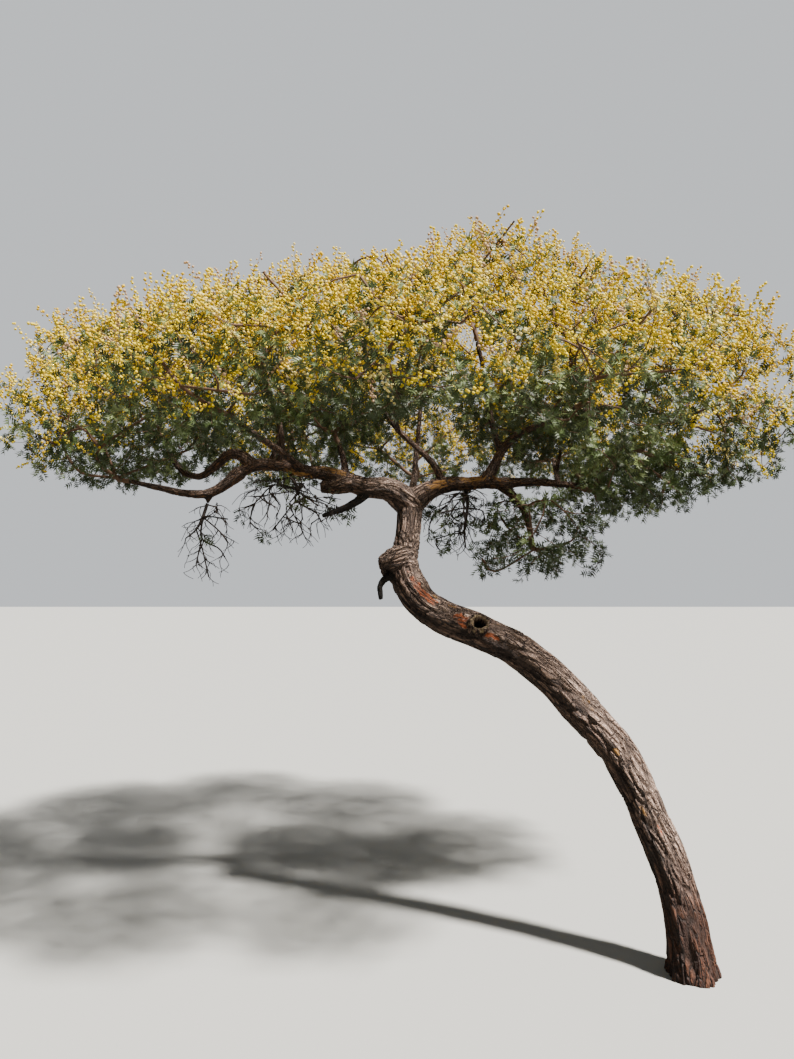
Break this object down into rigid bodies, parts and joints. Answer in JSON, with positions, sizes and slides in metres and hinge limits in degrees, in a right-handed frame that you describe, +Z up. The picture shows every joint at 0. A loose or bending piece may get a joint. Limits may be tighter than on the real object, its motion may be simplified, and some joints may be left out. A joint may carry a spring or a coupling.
{
  "type": "acacia tree",
  "caption": "Whole flowering acacia tree with a leaning, S-bent trunk, spreading boughs and a flat open umbrella crown, green below and yellow with blossom above.",
  "frame": {"origin": "middle of the flat cut under the trunk, at ground level", "axes": "+Z up; +X along the crown's width, away from the side that the trunk leans to; +Y into the crown's depth, away from the picture's camera"},
  "size_m": [3.9917, 3.2588, 3.4105],
  "materials": {
    "bark": "rough, fissured grey-brown bark with pink-brown and orange-red patches",
    "dead_wood": "dry, dark, weathered dead wood",
    "foliage": "matt, fine, feathery grey-green leaves on brown twigs",
    "blossom": "matt golden-yellow and cream flower heads among leaves on brown twigs",
    "dead_twigs": "dry, dark, leafless twigs"
  },
  "bodies": {
    "root": {"bloom_back": "blossom", "bloom_front": "blossom", "bloom_left_back": "blossom", "bloom_left_end": "blossom", "bloom_left_front": "blossom", "bloom_middle": "blossom", "bloom_peak": "blossom", "bloom_right": "blossom", "bloom_right_back": "blossom", "bloom_right_end": "blossom", "bough_left": "bark", "bough_left_high": "bark", "bough_left_low": "bark", "bough_right": "bark", "bough_right_hang": "bark", "bough_right_outer": "bark", "bough_right_rise": "bark", "broken_limb": "dead_wood", "dead_twigs_left": "dead_twigs", "dead_twigs_left_end": "dead_twigs", "dead_twigs_right": "dead_twigs", "hanging_right": "foliage", "limb_back": "bark", "limb_back_high": "bark", "limb_droop": "bark", "limb_front_high": "bark", "limb_left_back": "bark", "limb_left_back_high": "bark", "limb_left_front": "bark", "limb_left_rise": "bark", "limb_low_middle": "bark", "limb_middle": "bark", "limb_middle_front": "bark", "limb_peak": "bark", "limb_right_back": "bark", "limb_right_back_high": "bark", "limb_right_end": "bark", "limb_right_front": "bark", "limb_right_middle": "bark", "low_left_back": "foliage", "low_left_end": "foliage", "low_left_front": "foliage", "low_middle": "foliage", "low_middle_back": "foliage", "low_middle_front": "foliage", "low_right_back": "foliage", "low_right_end": "foliage", "low_right_front": "foliage", "low_right_middle": "foliage", "low_right_outer": "foliage", "trunk": "bark"}
  },
  "joints": []
}
